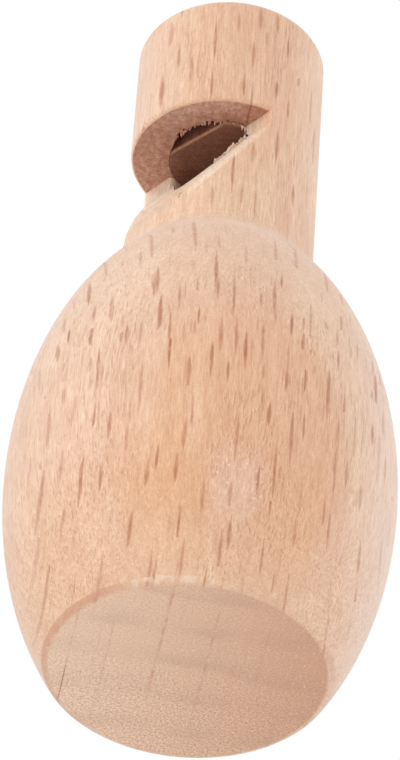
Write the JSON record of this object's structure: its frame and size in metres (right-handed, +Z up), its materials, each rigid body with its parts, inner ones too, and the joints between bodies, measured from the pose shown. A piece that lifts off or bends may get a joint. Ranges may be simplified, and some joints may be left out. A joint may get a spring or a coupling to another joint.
{
  "type": "wooden whistle",
  "caption": "Egg-bellied wooden whistle with a straight stem, a flat base, a ramped window and a plug with a flat air slot.",
  "frame": {"origin": "centre of the flat base, on the turning axis", "axes": "+Z up along the turning axis from the base to the mouth end, -Y out of the window"},
  "size_m": [0.03, 0.03, 0.0633],
  "materials": {
    "beech": "sanded",
    "dowel_beech": "sanded"
  },
  "bodies": {
    "root": {"whistle_body": "beech", "fipple_plug": "dowel_beech"}
  },
  "joints": []
}
